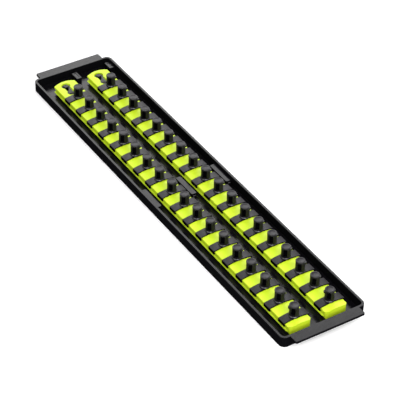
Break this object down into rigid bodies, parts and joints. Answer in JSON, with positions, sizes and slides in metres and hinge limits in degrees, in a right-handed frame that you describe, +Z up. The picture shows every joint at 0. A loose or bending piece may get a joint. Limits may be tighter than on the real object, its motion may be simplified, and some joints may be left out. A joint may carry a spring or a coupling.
{
  "type": "socket organizer tray",
  "caption": "Long shallow open tray with two crowned rails along it, each carrying a row of sliding saddle clips with upright posts for sockets.",
  "frame": {"origin": "centre of the underside of the tray, on the surface it stands on", "axes": "+X along the tray, from the end with the rail pegs to the end without them; +Y across the tray, towards rail_right; +Z up"},
  "size_m": [0.4826, 0.0908, 0.0247],
  "materials": {
    "tray_plastic": "black, fine-grained satin",
    "rail_plastic": "bright yellow-green, smooth satin",
    "clip_plastic": "black, fine-grained satin"
  },
  "bodies": {
    "tray": {"tray": "tray_plastic"},
    "rail_left": {"rail_left": "rail_plastic"},
    "rail_right": {"rail_right": "rail_plastic"},
    "clip_left_01": {"clip_left_01": "clip_plastic"},
    "clip_left_02": {"clip_left_02": "clip_plastic"},
    "clip_left_03": {"clip_left_03": "clip_plastic"},
    "clip_left_04": {"clip_left_04": "clip_plastic"},
    "clip_left_05": {"clip_left_05": "clip_plastic"},
    "clip_left_06": {"clip_left_06": "clip_plastic"},
    "clip_left_07": {"clip_left_07": "clip_plastic"},
    "clip_left_08": {"clip_left_08": "clip_plastic"},
    "clip_left_09": {"clip_left_09": "clip_plastic"},
    "clip_left_10": {"clip_left_10": "clip_plastic"},
    "clip_left_11": {"clip_left_11": "clip_plastic"},
    "clip_left_12": {"clip_left_12": "clip_plastic"},
    "clip_left_13": {"clip_left_13": "clip_plastic"},
    "clip_left_14": {"clip_left_14": "clip_plastic"},
    "clip_left_15": {"clip_left_15": "clip_plastic"},
    "clip_left_16": {"clip_left_16": "clip_plastic"},
    "clip_left_17": {"clip_left_17": "clip_plastic"},
    "clip_left_18": {"clip_left_18": "clip_plastic"},
    "clip_right_01": {"clip_right_01": "clip_plastic"},
    "clip_right_02": {"clip_right_02": "clip_plastic"},
    "clip_right_03": {"clip_right_03": "clip_plastic"},
    "clip_right_04": {"clip_right_04": "clip_plastic"},
    "clip_right_05": {"clip_right_05": "clip_plastic"},
    "clip_right_06": {"clip_right_06": "clip_plastic"},
    "clip_right_07": {"clip_right_07": "clip_plastic"},
    "clip_right_08": {"clip_right_08": "clip_plastic"},
    "clip_right_09": {"clip_right_09": "clip_plastic"},
    "clip_right_10": {"clip_right_10": "clip_plastic"},
    "clip_right_11": {"clip_right_11": "clip_plastic"},
    "clip_right_12": {"clip_right_12": "clip_plastic"},
    "clip_right_13": {"clip_right_13": "clip_plastic"},
    "clip_right_14": {"clip_right_14": "clip_plastic"},
    "clip_right_15": {"clip_right_15": "clip_plastic"},
    "clip_right_16": {"clip_right_16": "clip_plastic"},
    "clip_right_17": {"clip_right_17": "clip_plastic"},
    "clip_right_18": {"clip_right_18": "clip_plastic"}
  },
  "joints": [
    {"name": "rail_left_slide", "type": "slide", "parent": "tray", "child": "rail_left", "axis": [1, 0, 0], "range_m": [-0.0128, 0]},
    {"name": "rail_right_slide", "type": "slide", "parent": "tray", "child": "rail_right", "axis": [1, 0, 0], "range_m": [-0.0128, 0]},
    {"name": "clip_left_01_slide", "type": "slide", "parent": "rail_left", "child": "clip_left_01", "axis": [1, 0, 0], "range_m": [-0.0145, 0.006]},
    {"name": "clip_left_02_slide", "type": "slide", "parent": "rail_left", "child": "clip_left_02", "axis": [1, 0, 0], "range_m": [-0.006, 0.006]},
    {"name": "clip_left_03_slide", "type": "slide", "parent": "rail_left", "child": "clip_left_03", "axis": [1, 0, 0], "range_m": [-0.006, 0.006]},
    {"name": "clip_left_04_slide", "type": "slide", "parent": "rail_left", "child": "clip_left_04", "axis": [1, 0, 0], "range_m": [-0.006, 0.006]},
    {"name": "clip_left_05_slide", "type": "slide", "parent": "rail_left", "child": "clip_left_05", "axis": [1, 0, 0], "range_m": [-0.006, 0.006]},
    {"name": "clip_left_06_slide", "type": "slide", "parent": "rail_left", "child": "clip_left_06", "axis": [1, 0, 0], "range_m": [-0.006, 0.006]},
    {"name": "clip_left_07_slide", "type": "slide", "parent": "rail_left", "child": "clip_left_07", "axis": [1, 0, 0], "range_m": [-0.006, 0.006]},
    {"name": "clip_left_08_slide", "type": "slide", "parent": "rail_left", "child": "clip_left_08", "axis": [1, 0, 0], "range_m": [-0.006, 0.006]},
    {"name": "clip_left_09_slide", "type": "slide", "parent": "rail_left", "child": "clip_left_09", "axis": [1, 0, 0], "range_m": [-0.006, 0.006]},
    {"name": "clip_left_10_slide", "type": "slide", "parent": "rail_left", "child": "clip_left_10", "axis": [1, 0, 0], "range_m": [-0.006, 0.006]},
    {"name": "clip_left_11_slide", "type": "slide", "parent": "rail_left", "child": "clip_left_11", "axis": [1, 0, 0], "range_m": [-0.006, 0.006]},
    {"name": "clip_left_12_slide", "type": "slide", "parent": "rail_left", "child": "clip_left_12", "axis": [1, 0, 0], "range_m": [-0.006, 0.006]},
    {"name": "clip_left_13_slide", "type": "slide", "parent": "rail_left", "child": "clip_left_13", "axis": [1, 0, 0], "range_m": [-0.006, 0.006]},
    {"name": "clip_left_14_slide", "type": "slide", "parent": "rail_left", "child": "clip_left_14", "axis": [1, 0, 0], "range_m": [-0.006, 0.006]},
    {"name": "clip_left_15_slide", "type": "slide", "parent": "rail_left", "child": "clip_left_15", "axis": [1, 0, 0], "range_m": [-0.006, 0.006]},
    {"name": "clip_left_16_slide", "type": "slide", "parent": "rail_left", "child": "clip_left_16", "axis": [1, 0, 0], "range_m": [-0.006, 0.006]},
    {"name": "clip_left_17_slide", "type": "slide", "parent": "rail_left", "child": "clip_left_17", "axis": [1, 0, 0], "range_m": [-0.006, 0.006]},
    {"name": "clip_left_18_slide", "type": "slide", "parent": "rail_left", "child": "clip_left_18", "axis": [1, 0, 0], "range_m": [-0.006, 0.006]},
    {"name": "clip_right_01_slide", "type": "slide", "parent": "rail_right", "child": "clip_right_01", "axis": [1, 0, 0], "range_m": [-0.0145, 0.006]},
    {"name": "clip_right_02_slide", "type": "slide", "parent": "rail_right", "child": "clip_right_02", "axis": [1, 0, 0], "range_m": [-0.006, 0.006]},
    {"name": "clip_right_03_slide", "type": "slide", "parent": "rail_right", "child": "clip_right_03", "axis": [1, 0, 0], "range_m": [-0.006, 0.006]},
    {"name": "clip_right_04_slide", "type": "slide", "parent": "rail_right", "child": "clip_right_04", "axis": [1, 0, 0], "range_m": [-0.006, 0.006]},
    {"name": "clip_right_05_slide", "type": "slide", "parent": "rail_right", "child": "clip_right_05", "axis": [1, 0, 0], "range_m": [-0.006, 0.006]},
    {"name": "clip_right_06_slide", "type": "slide", "parent": "rail_right", "child": "clip_right_06", "axis": [1, 0, 0], "range_m": [-0.006, 0.006]},
    {"name": "clip_right_07_slide", "type": "slide", "parent": "rail_right", "child": "clip_right_07", "axis": [1, 0, 0], "range_m": [-0.006, 0.006]},
    {"name": "clip_right_08_slide", "type": "slide", "parent": "rail_right", "child": "clip_right_08", "axis": [1, 0, 0], "range_m": [-0.006, 0.006]},
    {"name": "clip_right_09_slide", "type": "slide", "parent": "rail_right", "child": "clip_right_09", "axis": [1, 0, 0], "range_m": [-0.006, 0.006]},
    {"name": "clip_right_10_slide", "type": "slide", "parent": "rail_right", "child": "clip_right_10", "axis": [1, 0, 0], "range_m": [-0.006, 0.006]},
    {"name": "clip_right_11_slide", "type": "slide", "parent": "rail_right", "child": "clip_right_11", "axis": [1, 0, 0], "range_m": [-0.006, 0.006]},
    {"name": "clip_right_12_slide", "type": "slide", "parent": "rail_right", "child": "clip_right_12", "axis": [1, 0, 0], "range_m": [-0.006, 0.006]},
    {"name": "clip_right_13_slide", "type": "slide", "parent": "rail_right", "child": "clip_right_13", "axis": [1, 0, 0], "range_m": [-0.006, 0.006]},
    {"name": "clip_right_14_slide", "type": "slide", "parent": "rail_right", "child": "clip_right_14", "axis": [1, 0, 0], "range_m": [-0.006, 0.006]},
    {"name": "clip_right_15_slide", "type": "slide", "parent": "rail_right", "child": "clip_right_15", "axis": [1, 0, 0], "range_m": [-0.006, 0.006]},
    {"name": "clip_right_16_slide", "type": "slide", "parent": "rail_right", "child": "clip_right_16", "axis": [1, 0, 0], "range_m": [-0.006, 0.006]},
    {"name": "clip_right_17_slide", "type": "slide", "parent": "rail_right", "child": "clip_right_17", "axis": [1, 0, 0], "range_m": [-0.006, 0.006]},
    {"name": "clip_right_18_slide", "type": "slide", "parent": "rail_right", "child": "clip_right_18", "axis": [1, 0, 0], "range_m": [-0.006, 0.006]}
  ]
}
